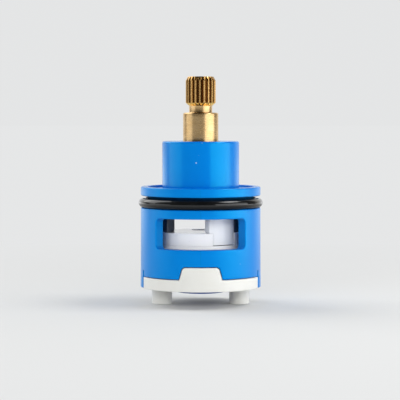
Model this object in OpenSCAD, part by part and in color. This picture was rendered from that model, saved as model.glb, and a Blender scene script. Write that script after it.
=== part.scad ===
// Diverter cartridge for a shower valve, standing on its two locating pins.
// The origin is on the turning axis, at the foot of the pins, with +Z up the stem and the
// windows towards -Y and +Y. It is shown turned against one stop, with the back port open.

/* [Base] */
// Length of the locating pins below the base
pin_len = 4.6; // [3.5:0.1:7]
// Diameter of the locating pins
pin_d = 5.4; // [4.2:0.1:6]
// Distance from a locating pin to the recess of the snap tab beside it
pin_margin = 0.7; // [0.4:0.05:1.2]
// Height of the base ring
ring_h = 3.05; // [2.6:0.05:4]
// Thickness of the base from its underside to the seat of the fixed disc
base_floor = 8; // [7.2:0.1:10]
// Diameter of the two ports through the base
port_d = 6; // [5:0.1:6.4]
// Height of the tongues above the base ring
tongue_h = 3.3; // [2:0.1:4.2]
// Width of a tongue at its foot
tongue_w = 11.26; // [8:0.1:14]
// Lean of the sides of a tongue from upright, in degrees
tongue_lean = 15; // [0:1:20]
// Corner radius at the top of a tongue
tongue_r = 1; // [0.3:0.1:1.6]

/* [Ceramic discs] */
// Diameter of both ceramic discs
disc_d = 21; // [20.4:0.1:21.6]
// Thickness of the fixed disc
fixed_t = 3.38; // [2.6:0.02:4]
// Thickness of the rotating disc
rotating_t = 3.25; // [2.6:0.05:3.6]
// Diameter of the holes through the discs
disc_port_d = 4.8; // [3.6:0.1:5]
// Thickness of the ceramic between a hole and the notch in the rim
disc_web = 0.6; // [0.4:0.05:0.9]
// Chamfer at the rims of the discs
disc_chamfer = 0.2; // [0.05:0.05:0.3]
// Height of the fixed disc that stands above its cup
disc_reveal = 0.8; // [0.4:0.1:1.5]

/* [Housing] */
// Outside diameter of the windowed body and the flange
body_d = 32; // [31.9:0.05:33]
// Wall of the windowed body
body_wall = 2.5; // [2.2:0.05:2.7]
// Height of the two windows
window_h = 8; // [6.5:0.1:9]
// Depth of the window sill below the joint between the discs
sill_drop = 0.68; // [0.2:0.02:0.9]
// Half of the angle that a window spans on the outside, in degrees
window_half = 47.1; // [35:0.5:52]
// Corner radius of the windows
window_r = 1.25; // [0.5:0.05:2]
// Height of the wall between the windows and the shoulder inside
lintel = 1.1; // [0.5:0.05:1.5]
// Depth of the pocket over that shoulder
pocket_h = 3; // [2.8:0.05:4]
// Distance that the wall of that pocket lies outside the rims of the discs
pocket_step = 0.7; // [0.55:0.05:0.9]
// Height of solid wall between the shoulder and the seal groove
groove_rise = 1.3; // [1:0.1:2]
// Width of the seal groove
groove_w = 3.2; // [2.9:0.05:4]
// Thickness of the flange
flange_t = 2.4; // [2:0.1:4]
// Depth of the ring-shaped hollow in the top of the flange
flange_recess = 0.6; // [0.2:0.05:1]
// Width of the flat rim outside that hollow
flange_rim = 1.8; // [1.2:0.1:3]
// Diameter of the tower
tower_d = 20.6; // [19:0.1:22]
// Height of the tower above the flange
tower_h = 12.1; // [11:0.1:18]
// Thickness of the collar at the mouth of the tower
mouth_t = 1.6; // [1:0.1:2.5]

/* [Snap tabs] */
// Width of a snap tab
tab_w = 9.3; // [7:0.1:10]
// Thickness of a snap tab
tab_t = 1.3; // [1:0.05:1.5]
// Distance that a tab stands out from the body
tab_proud = 0.08; // [0:0.01:0.15]
// Height of the slits beside a tab above the edge of the body
slit_h = 1.6; // [0.8:0.1:2.6]
// Width of those slits
slit_w = 0.8; // [0.5:0.05:1.2]
// Reach of the hook behind the base
hook_reach = 0.8; // [0.4:0.05:1]
// Height of the hook
hook_h = 1.2; // [0.8:0.05:1.4]

/* [Stem] */
// Diameter over the crests of the spline
spline_d = 8; // [7.4:0.1:9]
// Length of the spline
spline_len = 7.8; // [5:0.1:12]
// Number of teeth on the spline
spline_teeth = 20; // [16:1:24]
// Depth of the grooves of the spline
tooth_depth = 0.55; // [0.3:0.05:0.7]
// Direction of one of those teeth, in degrees anticlockwise from the right
first_tooth = -93.6; // [-99:0.1:-81]
// Diameter of the neck under the spline
neck_d = 6.2; // [5.6:0.1:7]
// Length of the neck
neck_len = 1.8; // [1:0.1:3]
// Diameter of the plain shank that leaves the tower
shank_d = 9.45; // [9:0.05:9.6]
// Height of the step between the shank and the thicker journal in the collar
journal_step = 0.2; // [0.16:0.02:0.3]
// Length of the shank above the tower
shank_len = 7.6; // [4:0.1:14]
// Diameter of the part of the stem that turns inside the tower
guide_d = 12; // [11.6:0.1:12.4]
// Diameter of the hole for the handle screw
screw_d = 3.3; // [2.5:0.1:3.6]
// Depth of the hole for the handle screw
screw_depth = 10; // [6:0.5:14]
// Diameter of the driving tang
tang_d = 10; // [8:0.1:11]
// Width of the tang across its two flats
tang_flats = 6.4; // [5:0.1:7.5]
// Length of the driving tang
tang_len = 2.4; // [1.6:0.1:2.5]

/* [Driver and stop ring] */
// Thickness of the plate of the driver
plate_t = 3; // [2.8:0.05:3.4]
// Diameter of the plate of the driver
plate_d = 16.2; // [15:0.1:16.4]
// Half of the angle that the lug of the driver spans, in degrees
lug_half = 22.6; // [14:0.2:26]
// Thickness of the wall of the lug
lug_wall = 1.7; // [1.2:0.05:1.8]
// Angle that the lug is set in on its free side where it enters the disc, in degrees
lug_step = 5.9; // [3:0.1:8]
// Height of the end of the lug above the fixed disc
lug_gap = 0.4; // [0.2:0.05:0.8]
// Travel between the two stops, in degrees
travel = 70; // [50:1:76]
// Width of the two keys of the stop ring
stop_key_w = 3; // [2:0.1:4]
// Reach of those keys
stop_key_reach = 0.9; // [0.5:0.05:1.2]

/* [Seals] */
// Section of the seal around the body
body_seal_d = 2.5; // [2.3:0.05:2.7]
// Distance that the body seal stands out from the flange
body_seal_proud = 0.65; // [0.4:0.05:0.8]
// Section of the two seals on the stem
stem_seal_d = 1.5; // [1.4:0.02:1.6]
// Height of the lower stem seal above the end of the guide
stem_seal_z = 4; // [2.5:0.1:5]
// Distance between the two stem seals
stem_seal_pitch = 5.5; // [3.5:0.1:6.5]
// Width of the rings of the gasket under the base
gasket_w = 2.05; // [1.6:0.05:2.2]
// Distance that this gasket stands out below the base
gasket_proud = 0.7; // [0.3:0.05:1]
// Depth of the groove that holds it
gasket_groove = 1.7; // [1.2:0.05:2]
// Width of the seals under the fixed disc
disc_seal_w = 1.2; // [0.9:0.05:1.4]
// Depth of the seats of those seals
disc_seal_seat = 1.6; // [1.2:0.05:2]
// Wall of the support sleeves inside those seals
sleeve_wall = 0.5; // [0.35:0.05:0.7]
// Thickness of the two slip washers
washer_t = 0.6; // [0.4:0.05:0.8]

/* [Fits] */
// Distance that the base stands in from the body around it, on the radius
ring_inset = 0.05; // [0:0.01:0.2]
// Clearance between the plate of the driver and the stop ring, on the radius
plate_gap = 0.2; // [0.15:0.05:0.4]
// Clearance around parts that turn in one another, on the radius
running = 0.06; // [0.03:0.01:0.09]
// Clearance around pieces that are pushed into place, on the radius
seat_gap = 0.05; // [0.03:0.01:0.1]
// Gap between flat faces that slide on one another
film = 0.02; // [0.01:0.01:0.05]
// Gap between the housing and the base, as seen around the tongues
joint_gap = 0.2; // [0.1:0.02:0.3]
// Angle left between the lug and each stop, in degrees
stop_slack = 0.4; // [0.3:0.1:0.8]

/* [Hidden] */

$fn = 96;
// Length by which a cut passes a face, and by which shapes of one piece overlap
past = 1;
// Clearance around pieces that are dropped in, on the radius
loose = 3 * seat_gap;
// Gap between the driver and what it passes
ring_clear = 0.1;
// Flats that make up a rounded corner of a tongue
corner_steps = 7;

// Colours
blue = [0.02, 0.47, 0.85];
off_white = [0.9, 0.9, 0.87];
ceramic_white = [0.93, 0.94, 0.96];
charcoal = [0.2, 0.22, 0.25];
brass = [0.8, 0.6, 0.25];
black = [0.06, 0.06, 0.07];
seal_blue = [0.12, 0.3, 0.68];
slip_white = [0.85, 0.86, 0.84];
steel = [0.72, 0.73, 0.75];

// Levels, from the foot of the pins up
base_z = pin_len;
ring_top = base_z + ring_h;
seat_z = base_z + base_floor;
// The seals hold the fixed disc just above its seat
seal_lift = 0.2;
fixed_z = seat_z + seal_lift;
fixed_top = fixed_z + fixed_t;
rotating_z = fixed_top + film;
rotating_top = rotating_z + rotating_t;
edge_z = ring_top + joint_gap;
window_z = fixed_top - sill_drop;
window_top = window_z + window_h;
shoulder_z = window_top + lintel;
pocket_top = shoulder_z + pocket_h;
groove_z = shoulder_z + groove_rise;
flange_z = groove_z + groove_w;
flange_top = flange_z + flange_t;
tower_top = flange_top + tower_h;
collar_z = tower_top - mouth_t;
driver_top = pocket_top - washer_t - film;
driver_z = driver_top - plate_t;
guide_top = collar_z - washer_t - film;
shank_top = tower_top + shank_len;
spline_z = shank_top + neck_len;
stem_top = spline_z + spline_len;

// Radii
body_r = body_d / 2;
bore_r = body_r - body_wall;
ring_r = body_r - ring_inset;
boss_r = bore_r - loose;
disc_r = disc_d / 2;
cup_r = disc_r + loose;
pocket_r = disc_r + pocket_step;
groove_r = body_r + body_seal_proud - body_seal_d;
guide_r = guide_d / 2;
shank_r = shank_d / 2;
journal_r = shank_r + journal_step;
plate_r = plate_d / 2;
stop_ring_bore_r = plate_r + plate_gap;
lug_r = disc_r - ring_clear;
lug_in_r = lug_r - lug_wall;
notch_floor_r = lug_in_r - ring_clear;

// Distances from the axis to the holes through the discs and to the ports in the base
disc_port_offset = notch_floor_r - disc_web - disc_port_d / 2;
port_offset = disc_port_offset + (port_d - disc_port_d) / 2;

// Directions, in degrees from the front, positive towards +X
lug_rest = travel / 2;
stop_half = travel / 2 + lug_half + stop_slack;
lug_low_end = lug_rest - lug_half;
lug_high_end = lug_rest + lug_half;

// Band of a ring between two directions from the front, drawn as a turned profile
module sector(from, to) {
  rotate([0, 0, from - 90])
    rotate_extrude(angle = to - from)
      children();
}

// Upright rectangle of the turning profile
module profile_box(r_in, r_out, z_low, z_high) {
  translate([r_in, z_low])
    square([r_out - r_in, z_high - z_low]);
}

module tube(r_in, r_out, z_low, z_high) {
  rotate_extrude()
    profile_box(r_in, r_out, z_low, z_high);
}

module rod(r, z_low, z_high) {
  translate([0, 0, z_low])
    cylinder(r = r, h = z_high - z_low);
}

module o_ring(centre_r, section_r, z) {
  rotate_extrude()
    translate([centre_r, z])
      circle(section_r);
}

// Disc whose upper and lower edges are rounded by their own radii
module rounded_disc(r, z_low, z_high, low_round, high_round) {
  rotate_extrude() {
    profile_box(0, r - low_round, z_low, z_low + low_round);
    profile_box(0, r, z_low + low_round, z_high - high_round);
    profile_box(0, r - high_round, z_high - high_round, z_high);
    translate([r - low_round, z_low + low_round])
      circle(low_round);
    translate([r - high_round, z_high - high_round])
      circle(high_round);
  }
}

// Disc whose lower and upper edges are cut off at 45 degrees
module chamfered_disc(r, z_low, z_high, low_cut, high_cut) {
  rotate_extrude()
    polygon([
      [0, z_low], [r - low_cut, z_low], [r, z_low + low_cut],
      [r, z_high - high_cut], [r - high_cut, z_high], [0, z_high],
    ]);
}

// Places a copy at each of the two ports, front and back
module at_ports(offset_y) {
  for (side = [-1, 1])
    translate([0, side * offset_y, 0])
      children();
}

// Points of an arc of the given radius, from one angle to another in equal steps
function arc_points(x, y, r, from, to, steps) = [
  for (i = [0 : steps])
    let (angle = from + (to - from) * i / steps)
      [x + r * cos(angle), y + r * sin(angle)]
];

// Outline of a tongue seen from the front, grown evenly by the given gap
module tongue_outline(grow) {
  corner = tongue_r + grow;
  foot = tongue_w / 2 + grow / cos(tongue_lean);
  foot_z = ring_top - ring_h / 2;
  top_z = ring_top + tongue_h - tongue_r;
  top_x = tongue_w / 2 - (tongue_h - tongue_r) * tan(tongue_lean) - tongue_r / cos(tongue_lean);
  polygon(concat(
    [[-foot, ring_top], [-foot, foot_z], [foot, foot_z], [foot, ring_top]],
    arc_points(top_x, top_z, corner, tongue_lean, 90, corner_steps),
    arc_points(-top_x, top_z, corner, 90, 180 - tongue_lean, corner_steps)
  ));
}

// Bar with the outline of a tongue, running through the part from front to back
module tongue_bar(grow) {
  rotate([90, 0, 0])
    linear_extrude(height = 2 * body_d, center = true)
      tongue_outline(grow);
}

// Housing

flange_round = 0.3;
body_chamfer = 0.2;
tower_round = 0.5;
recess_r = body_r - flange_rim;
tower_r = tower_d / 2;

// Upright slot with round ends, centred on Y, running from one distance along X to another
module slot_bar(width, z_low, z_high, x_from, x_to) {
  translate([x_from, 0, 0])
    rotate([90, 0, 90])
      linear_extrude(height = x_to - x_from) {
        translate([-width / 2, z_low + width / 2])
          square([width, z_high - z_low - width]);
        for (z = [z_low + width / 2, z_high - width / 2])
          translate([0, z])
            circle(width / 2);
      }
}

// One window: its side walls run out along the radius through its corner circles
module window_cut() {
  reach = body_r + past;
  corner_angle = window_half - asin(window_r / body_r);
  sector(-corner_angle, corner_angle)
    profile_box(disc_r, reach, window_z, window_top);
  for (side = [-1, 1])
    rotate([0, 0, side * corner_angle - 90])
      slot_bar(2 * window_r, window_z, window_top, disc_r, reach);
}

// Slit with a round end on each side of the snap tabs, cut across the whole body
module slit_cut() {
  for (side = [-1, 1])
    translate([0, side * (tab_w + slit_w) / 2, 0])
      slot_bar(slit_w, edge_z - past, edge_z + slit_h, -body_d, body_d);
}

// Turned shape of the housing before the windows and slits are cut
module housing_turned() {
  difference() {
    union() {
      chamfered_disc(body_r, edge_z, groove_z, joint_gap / 2, body_chamfer);
      rod(groove_r, groove_z - past, flange_z + past);
      rounded_disc(body_r, flange_z, flange_top, flange_round, flange_round);
      rounded_disc(tower_r, flange_z + past, tower_top, tower_round, tower_round);
    }
    tube(tower_r, recess_r, flange_top - flange_recess, flange_top + past);
    rod(bore_r, edge_z - past, shoulder_z);
    rod(pocket_r, shoulder_z - past, pocket_top);
    rod(guide_r + running, pocket_top - past, collar_z);
    rod(journal_r + running, collar_z - past, tower_top + past);
  }
}

// Snap tab on each side, with its hook turned in behind the base
tab_lift = 0.1;
tab_z = base_z + tab_lift;
tab_top = edge_z + slit_h;
tab_chamfer = 0.3;
tab_r = body_r + tab_proud;
tab_in_r = body_r - tab_t;
hook_inset = 1.05;
hook_w = tab_w - 2 * hook_inset;

module snap_tabs() {
  intersection() {
    rotate_extrude()
      polygon([
        [tab_in_r, tab_z], [tab_r - tab_chamfer, tab_z], [tab_r, tab_z + tab_chamfer],
        [tab_r, edge_z], [body_r, edge_z + tab_chamfer], [body_r, tab_top], [tab_in_r, tab_top],
      ]);
    translate([-body_d, -tab_w / 2, 0])
      cube([2 * body_d, tab_w, tower_top]);
  }
  intersection() {
    tube(tab_in_r - hook_reach, tab_in_r + tab_t / 2, tab_z, tab_z + hook_h);
    translate([-body_d, -hook_w / 2, 0])
      cube([2 * body_d, hook_w, tower_top]);
  }
}

// Moulded housing: tower, flange, seal groove, windowed body and two snap tabs
module housing() {
  color(blue) {
    difference() {
      housing_turned();
      for (turn = [0, 180])
        rotate([0, 0, turn])
          window_cut();
      tongue_bar(joint_gap);
      slit_cut();
      translate([0, 0, (shoulder_z + pocket_top) / 2])
        cube([
          stop_key_w + 2 * seat_gap,
          2 * (pocket_r + stop_key_reach + seat_gap),
          pocket_h,
        ], center = true);
    }
    snap_tabs();
  }
}

module body_o_ring() {
  color(black)
    o_ring(groove_r + body_seal_d / 2, body_seal_d / 2 - film, groove_z + body_seal_d / 2);
}

// Stem

stem_groove_r = guide_r - stem_seal_d - film;
stem_groove_room = 1.4;
stem_groove_w = stem_groove_room * stem_seal_d;
stem_seal_low = driver_top + stem_seal_z;
stem_seal_high = stem_seal_low + stem_seal_pitch;
stem_end = driver_top - tang_len;
shank_chamfer = 0.3;
spline_run_out = 0.85;
tip_chamfer_h = 1.1;
tip_chamfer = 0.6;
neck_overlap = 0.1;
// Half widths of a crest and of a root, in parts of the pitch of the teeth
crest_half = 0.17;
root_half = 0.09;

// Turning profile of the neck and of the blank that the spline is cut in
module spline_blank() {
  neck_r = neck_d / 2;
  crest_r = spline_d / 2;
  rotate_extrude()
    polygon([
      [0, shank_top - past], [neck_r, shank_top - past], [neck_r, spline_z],
      [crest_r, spline_z + spline_run_out], [crest_r, stem_top - tip_chamfer_h],
      [crest_r - tip_chamfer, stem_top], [0, stem_top],
    ]);
}

// Points around the spline: a crest and a narrower root for each tooth
function spline_points() = [
  for (tooth = [0 : spline_teeth - 1])
    for (corner = [[-crest_half, 0], [crest_half, 0], [0.5 - root_half, 1], [0.5 + root_half, 1]])
      let (
        angle = first_tooth + (tooth + corner[0]) * 360 / spline_teeth,
        r = spline_d / 2 - corner[1] * tooth_depth
      )
        [r * cos(angle), r * sin(angle)]
];

module spline() {
  intersection() {
    spline_blank();
    union() {
      translate([0, 0, spline_z])
        linear_extrude(height = spline_len + past)
          polygon(spline_points());
      rod(neck_d / 2 + 2 * neck_overlap, shank_top - past, spline_z + neck_overlap);
    }
  }
}

// Turned brass stem: spline, neck, shank, journal, guide with two seal grooves, flat-sided tang
module stem() {
  color(brass)
    difference() {
      union() {
        spline();
        rod(journal_r, guide_top - past, tower_top);
        rod(shank_r, guide_top - past, shank_top - shank_chamfer);
        translate([0, 0, shank_top - shank_chamfer])
          cylinder(r1 = shank_r, r2 = shank_r - shank_chamfer, h = shank_chamfer);
        rod(guide_r, driver_top, guide_top);
        intersection() {
          rod(tang_d / 2, stem_end, driver_top + past);
          translate([0, 0, driver_top])
            cube([tang_d, tang_flats, 2 * tang_len + past], center = true);
        }
      }
      for (z = [stem_seal_low, stem_seal_high])
        tube(stem_groove_r, guide_r + past, z - stem_groove_w / 2, z + stem_groove_w / 2);
      rod(screw_d / 2, stem_top - screw_depth, stem_top + past);
    }
}

module stem_seal(z) {
  color(black)
    o_ring(stem_groove_r + film + stem_seal_d / 2, stem_seal_d / 2, z);
}

module stem_o_ring_upper() {
  stem_seal(stem_seal_high);
}

module stem_o_ring_lower() {
  stem_seal(stem_seal_low);
}

// Slip washer between the shoulder of the stem and the collar of the tower
module thrust_washer() {
  color(slip_white)
    tube(journal_r + running, guide_r, collar_z - washer_t, collar_z);
}

// Slip washer between the driver and the roof of the pocket
module driver_washer() {
  color(slip_white)
    tube(guide_r + loose, plate_r, pocket_top - washer_t, pocket_top);
}

// Driver

stop_ring_lift = 0.4;
stop_ring_z = shoulder_z + stop_ring_lift;
arm_top = stop_ring_z - ring_clear;
lug_foot = fixed_top + lug_gap;
lug_shoulder = rotating_top + film;
notch_slack = 0.7;

// Moulded driver: a plate with a socket for the tang and one lug that hangs to the discs
module driver() {
  color(off_white)
    difference() {
      union() {
        rod(plate_r, driver_z, driver_top);
        sector(lug_low_end, lug_high_end)
          polygon([
            [plate_r - past, arm_top], [plate_r - past, driver_z], [lug_in_r, driver_z],
            [lug_in_r, lug_foot], [lug_r, lug_foot], [lug_r, arm_top],
          ]);
      }
      sector(lug_low_end - lug_step, lug_low_end + lug_step)
        profile_box(lug_in_r - past, lug_r + past, lug_foot - past, lug_shoulder);
      intersection() {
        rod(tang_d / 2 + seat_gap, stem_end - film, driver_top + past);
        translate([0, 0, driver_top])
          cube([
            tang_d + past, tang_flats + 2 * seat_gap, 2 * (tang_len + film),
          ], center = true);
      }
    }
}

// Fixed ring in the pocket: two legs stop the lug at each end of its travel
module stop_ring() {
  leg_foot = rotating_top + ring_clear;
  stop_ring_top = pocket_top - seat_gap;
  color(charcoal) {
    tube(stop_ring_bore_r, pocket_r - seat_gap, stop_ring_z, stop_ring_top);
    for (turn = [0, 180])
      rotate([0, 0, turn])
        sector(stop_half, 180 - stop_half)
          profile_box(stop_ring_bore_r, disc_r, leg_foot, stop_ring_z + past);
    difference() {
      translate([0, 0, (stop_ring_z + stop_ring_top) / 2])
        cube([
          stop_key_w, 2 * (pocket_r + stop_key_reach), stop_ring_top - stop_ring_z,
        ], center = true);
      rod(pocket_r - past, stop_ring_z - past, stop_ring_top + past);
    }
  }
}

// Discs

module disc_blank(z_low, z_high) {
  chamfered_disc(disc_r, z_low, z_high, disc_chamfer, disc_chamfer);
}

// Rotating disc: a rim notch for the lug and two holes, of which one is over its port
module rotating_disc() {
  color(ceramic_white)
    difference() {
      disc_blank(rotating_z, rotating_top);
      sector(lug_low_end + lug_step - notch_slack, lug_high_end + notch_slack)
        profile_box(notch_floor_r, disc_r + past, rotating_z - past, rotating_top + past);
      for (direction = [180, travel])
        rotate([0, 0, direction])
          translate([0, -disc_port_offset, 0])
            rod(disc_port_d / 2, rotating_z - past, rotating_top + past);
    }
}

// Keys in the cup of the base that stop the fixed disc from turning
key_w = 3;
key_reach = 1;

// Fixed disc: two holes over the ports and two rim notches for the keys of the base
module fixed_disc() {
  color(ceramic_white)
    difference() {
      disc_blank(fixed_z, fixed_top);
      at_ports(disc_port_offset)
        rod(disc_port_d / 2, fixed_z - past, fixed_top + past);
      for (side = [-1, 1])
        translate([side * disc_r, 0, fixed_z + fixed_t / 2])
          cube([2 * key_reach, key_w + 2 * loose, fixed_t + past], center = true);
    }
}

// Base

port_r = port_d / 2;
sleeve_in_r = port_r + seat_gap;
sleeve_out_r = sleeve_in_r + sleeve_wall;
disc_seal_in_r = sleeve_out_r + seat_gap;
disc_seal_out_r = disc_seal_in_r + disc_seal_w;
seal_seat_r = disc_seal_out_r + seat_gap;
// The two rings of the gasket overlap a little where they meet
gasket_overlap = 0.5;
gasket_r = port_offset + gasket_overlap;
gasket_in_r = gasket_r - gasket_w;
pin_chamfer = 0.3;
ring_chamfer_low = 0.25;
ring_chamfer_top = 0.1;
cup_top = fixed_top - disc_reveal;
tab_pocket_r = tab_in_r - seat_gap;
hook_pocket_r = tab_in_r - hook_reach - loose;
pin_offset = hook_pocket_r - pin_margin - pin_d / 2;

// Recesses in the side of the base that take the snap tabs and their hooks
module tab_recesses() {
  intersection() {
    tube(tab_pocket_r, body_d, base_z - past, ring_top + past);
    translate([-body_d, -tab_w / 2 - joint_gap, 0])
      cube([2 * body_d, tab_w + 2 * joint_gap, tower_top]);
  }
  intersection() {
    tube(hook_pocket_r, body_d, base_z - past, tab_z + hook_h + joint_gap);
    translate([-body_d, -hook_w / 2 - joint_gap, 0])
      cube([2 * body_d, hook_w + 2 * joint_gap, tower_top]);
  }
}

// Groove of the gasket around both ports
module gasket_groove_cut() {
  groove_top = base_z + gasket_groove;
  difference() {
    at_ports(port_offset)
      rod(gasket_r + seat_gap, base_z - past, groove_top);
    at_ports(port_offset)
      rod(gasket_in_r - seat_gap, base_z - 2 * past, groove_top + past);
  }
}

// Moulded base: ring, boss with the cup of the fixed disc, two tongues and two locating pins
module base() {
  color(off_white) {
    difference() {
      union() {
        chamfered_disc(ring_r, base_z, ring_top, ring_chamfer_low, ring_chamfer_top);
        rod(boss_r, base_z + past, cup_top);
        intersection() {
          tongue_bar(0);
          tube(boss_r - past, ring_r, base_z + past, cup_top);
        }
      }
      rod(cup_r, seat_z, cup_top + past);
      at_ports(port_offset) {
        rod(port_r, base_z - past, seat_z + past);
        rod(seal_seat_r, seat_z - disc_seal_seat, seat_z + past);
      }
      gasket_groove_cut();
      tab_recesses();
    }
    for (side = [-1, 1]) {
      translate([side * pin_offset, 0, 0])
        chamfered_disc(pin_d / 2, 0, base_z + past, pin_chamfer, pin_chamfer);
      translate([side * (cup_r - key_reach / 2), 0, (seat_z + cup_top) / 2])
        cube([key_reach, key_w, cup_top - seat_z], center = true);
    }
  }
}

// Gasket under the base: a ring around each port, joined in the middle
module port_gasket() {
  lip = 0.5;
  color(seal_blue)
    difference() {
      at_ports(port_offset)
        chamfered_disc(gasket_r, base_z - gasket_proud, base_z + gasket_groove, lip, seat_gap);
      at_ports(port_offset)
        rod(gasket_in_r, base_z - 2 * past, base_z + gasket_groove + past);
    }
}

// Seal around one port, standing on the base and carrying the fixed disc
module disc_seal(side) {
  color(seal_blue)
    translate([0, side * port_offset, 0])
      tube(disc_seal_in_r, disc_seal_out_r, seat_z - disc_seal_seat, fixed_z);
}

module disc_seal_front() {
  disc_seal(-1);
}

module disc_seal_back() {
  disc_seal(1);
}

// Stiff sleeve that keeps a disc seal from closing into its port
module seal_sleeve(side) {
  color(steel)
    translate([0, side * port_offset, 0])
      tube(sleeve_in_r, sleeve_out_r, seat_z - disc_seal_seat, seat_z);
}

module seal_sleeve_front() {
  seal_sleeve(-1);
}

module seal_sleeve_back() {
  seal_sleeve(1);
}

housing();
body_o_ring();
stem();
stem_o_ring_upper();
stem_o_ring_lower();
thrust_washer();
driver_washer();
driver();
stop_ring();
rotating_disc();
fixed_disc();
disc_seal_front();
disc_seal_back();
seal_sleeve_front();
seal_sleeve_back();
base();
port_gasket();
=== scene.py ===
import bmesh
import bpy
import numpy as np
from mathutils.geometry import delaunay_2d_cdt
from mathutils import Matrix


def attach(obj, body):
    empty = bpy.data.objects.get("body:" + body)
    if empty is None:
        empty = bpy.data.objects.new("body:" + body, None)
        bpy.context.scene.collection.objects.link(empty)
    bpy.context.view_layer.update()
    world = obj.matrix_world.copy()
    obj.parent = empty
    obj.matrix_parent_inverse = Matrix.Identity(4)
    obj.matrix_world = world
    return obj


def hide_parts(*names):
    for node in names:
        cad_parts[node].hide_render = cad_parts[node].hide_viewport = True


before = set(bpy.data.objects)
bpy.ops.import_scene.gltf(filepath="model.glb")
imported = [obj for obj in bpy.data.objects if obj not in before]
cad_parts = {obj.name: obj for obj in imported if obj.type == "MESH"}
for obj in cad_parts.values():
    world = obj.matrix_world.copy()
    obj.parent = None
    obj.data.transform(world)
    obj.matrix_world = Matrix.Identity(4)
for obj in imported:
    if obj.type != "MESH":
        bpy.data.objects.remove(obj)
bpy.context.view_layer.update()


# Housing
# The blue moulding that holds everything: tower, flange, groove for the body seal, a wall with two
# windows and two snap tabs. It is injection moulded in satin plastic, with small radii on its edges
# and a faint parting line down the front and back.

# Lengths and heights are in millimetres, and closed_shell makes metres of them. A name that ends in
# _r is a distance from the axis.
body_r = 16.0
bore_r = 13.5
wall_top = 25.6
shoulder_z = 24.6
edge_z = 7.85
tab_in_r = 14.7
tab_foot = 4.7
tab_proud = 0.08
tab_half_angle = 0.318
hook_r = 14.8
pocket_r = 11.2
pocket_roof = 27.6
groove_r = 14.15
groove_low, groove_high = 25.9, 29.1
dish_r = 14.2
dish_z = 30.9
flange_top = 31.5
tower_r = 10.3
tower_top = 43.6
guide_bore_r = 6.06
collar_bore_r = 4.985
collar_z = 42.0
turns = 240
path_step = 0.4


def unit(vectors):
    """The vectors, each scaled to length one."""
    return vectors / np.linalg.norm(vectors, axis=-1, keepdims=True)


def rounded(corners, radii, steps=6, closed=False):
    """Path through corners, each rounded by a circle that touches both its sides. Its centre is
    radius / sin(half the corner) along the bisector, and its arc is cut into equal turns."""
    points = np.array(corners, float)
    if closed:
        points = np.concatenate([points[-1:], points, points[:1]])
    middle = points[1:-1]
    radius = np.broadcast_to(np.array(radii, float), len(middle))[:, None]
    before = unit(points[:-2] - middle)
    after = unit(points[2:] - middle)
    half = np.arccos((before * after).sum(1, keepdims=True)) / 2
    centre = middle + unit(before + after) * radius / np.sin(half)
    start = middle + before * radius / np.tan(half) - centre
    end = middle + after * radius / np.tan(half) - centre
    part = np.linspace(0, 1, steps + 1)
    turn = np.pi - 2 * half
    weight = np.stack([np.sin((1 - part) * turn), np.sin(part * turn)], -1) / np.sin(turn)[..., None]
    arcs = centre[:, None] + weight[..., :1] * start[:, None] + weight[..., 1:] * end[:, None]
    arcs = arcs.reshape(-1, 2)
    return arcs if closed else np.concatenate([points[:1], arcs, points[-1:]])


def refined(path, longest, closed=False):
    """The same path, each step cut into as many even parts as bring it under the given length."""
    if closed:
        path = np.concatenate([path, path[:1]])
    parts = np.ceil(np.linalg.norm(np.diff(path, axis=0), axis=1) / longest)
    knots = np.append(0, np.cumsum(parts))
    marks = np.arange(knots[-1] + 1)
    fine = np.stack([np.interp(marks, knots, path[:, i]) for i in (0, 1)], 1)
    return fine[:-1] if closed else fine


def around(angle, radius, height):
    """Points at an angle from the front towards +X, at a distance from the axis and a height."""
    angle, radius, height = np.broadcast_arrays(angle, radius, height)
    return np.stack([radius * np.sin(angle), -radius * np.cos(angle), height], -1)


def grid_faces(rows, columns, rows_meet=False, columns_meet=False):
    """Four-cornered faces between neighbours of a grid of points that are numbered row by row."""
    row = np.arange(rows if rows_meet else rows - 1)[:, None]
    column = np.arange(columns if columns_meet else columns - 1)[None, :]
    next_row = (row + 1) % rows
    next_column = (column + 1) % columns
    corners = [
        row * columns + column, row * columns + next_column,
        next_row * columns + next_column, next_row * columns + column,
    ]
    return np.stack(corners, -1).reshape(-1, 4)


def rectangle(left, right, low, high):
    """Its four corners, anticlockwise from the lower left one."""
    return [(left, low), (right, low), (right, high), (left, high)]


def turned(profile, steps=turns, closed=False, centre=(0, 0)):
    """Turned surface: each point (r, z) of the profile goes once round an upright axis."""
    angle = np.arange(steps) * 2 * np.pi / steps
    points = around(angle[:, None], profile[None, :, 0], profile[None, :, 1])
    points[..., :2] += centre
    return points.reshape(-1, 3), grid_faces(steps, len(profile), True, closed)


def beside(path, closed=False):
    """Unit vectors to the left of a path at each of its points: the mean direction of the steps
    before and after it, turned by 90 degrees."""
    step = unit(np.roll(path, -1, 0) - path) + unit(path - np.roll(path, 1, 0))
    if not closed:
        step[0] = path[1] - path[0]
        step[-1] = path[-1] - path[-2]
    return unit(np.stack([-step[:, 1], step[:, 0]], 1))


def fill(outline, field=None, holes=()):
    """Triangles inside a closed outline, outside its holes, through every point of the field. The
    points of the outline come first, then those of the holes and the field."""
    loops = [outline, *holes]
    starts = np.cumsum([0] + [len(loop) for loop in loops])
    points = np.concatenate(loops if field is None else loops + [field])
    faces = [list(range(a, b)) for a, b in zip(starts[:-1], starts[1:])]
    made = delaunay_2d_cdt(points.tolist(), [], faces, 2, 1e-7)
    return np.array(made[0]), np.array(made[2])


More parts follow.
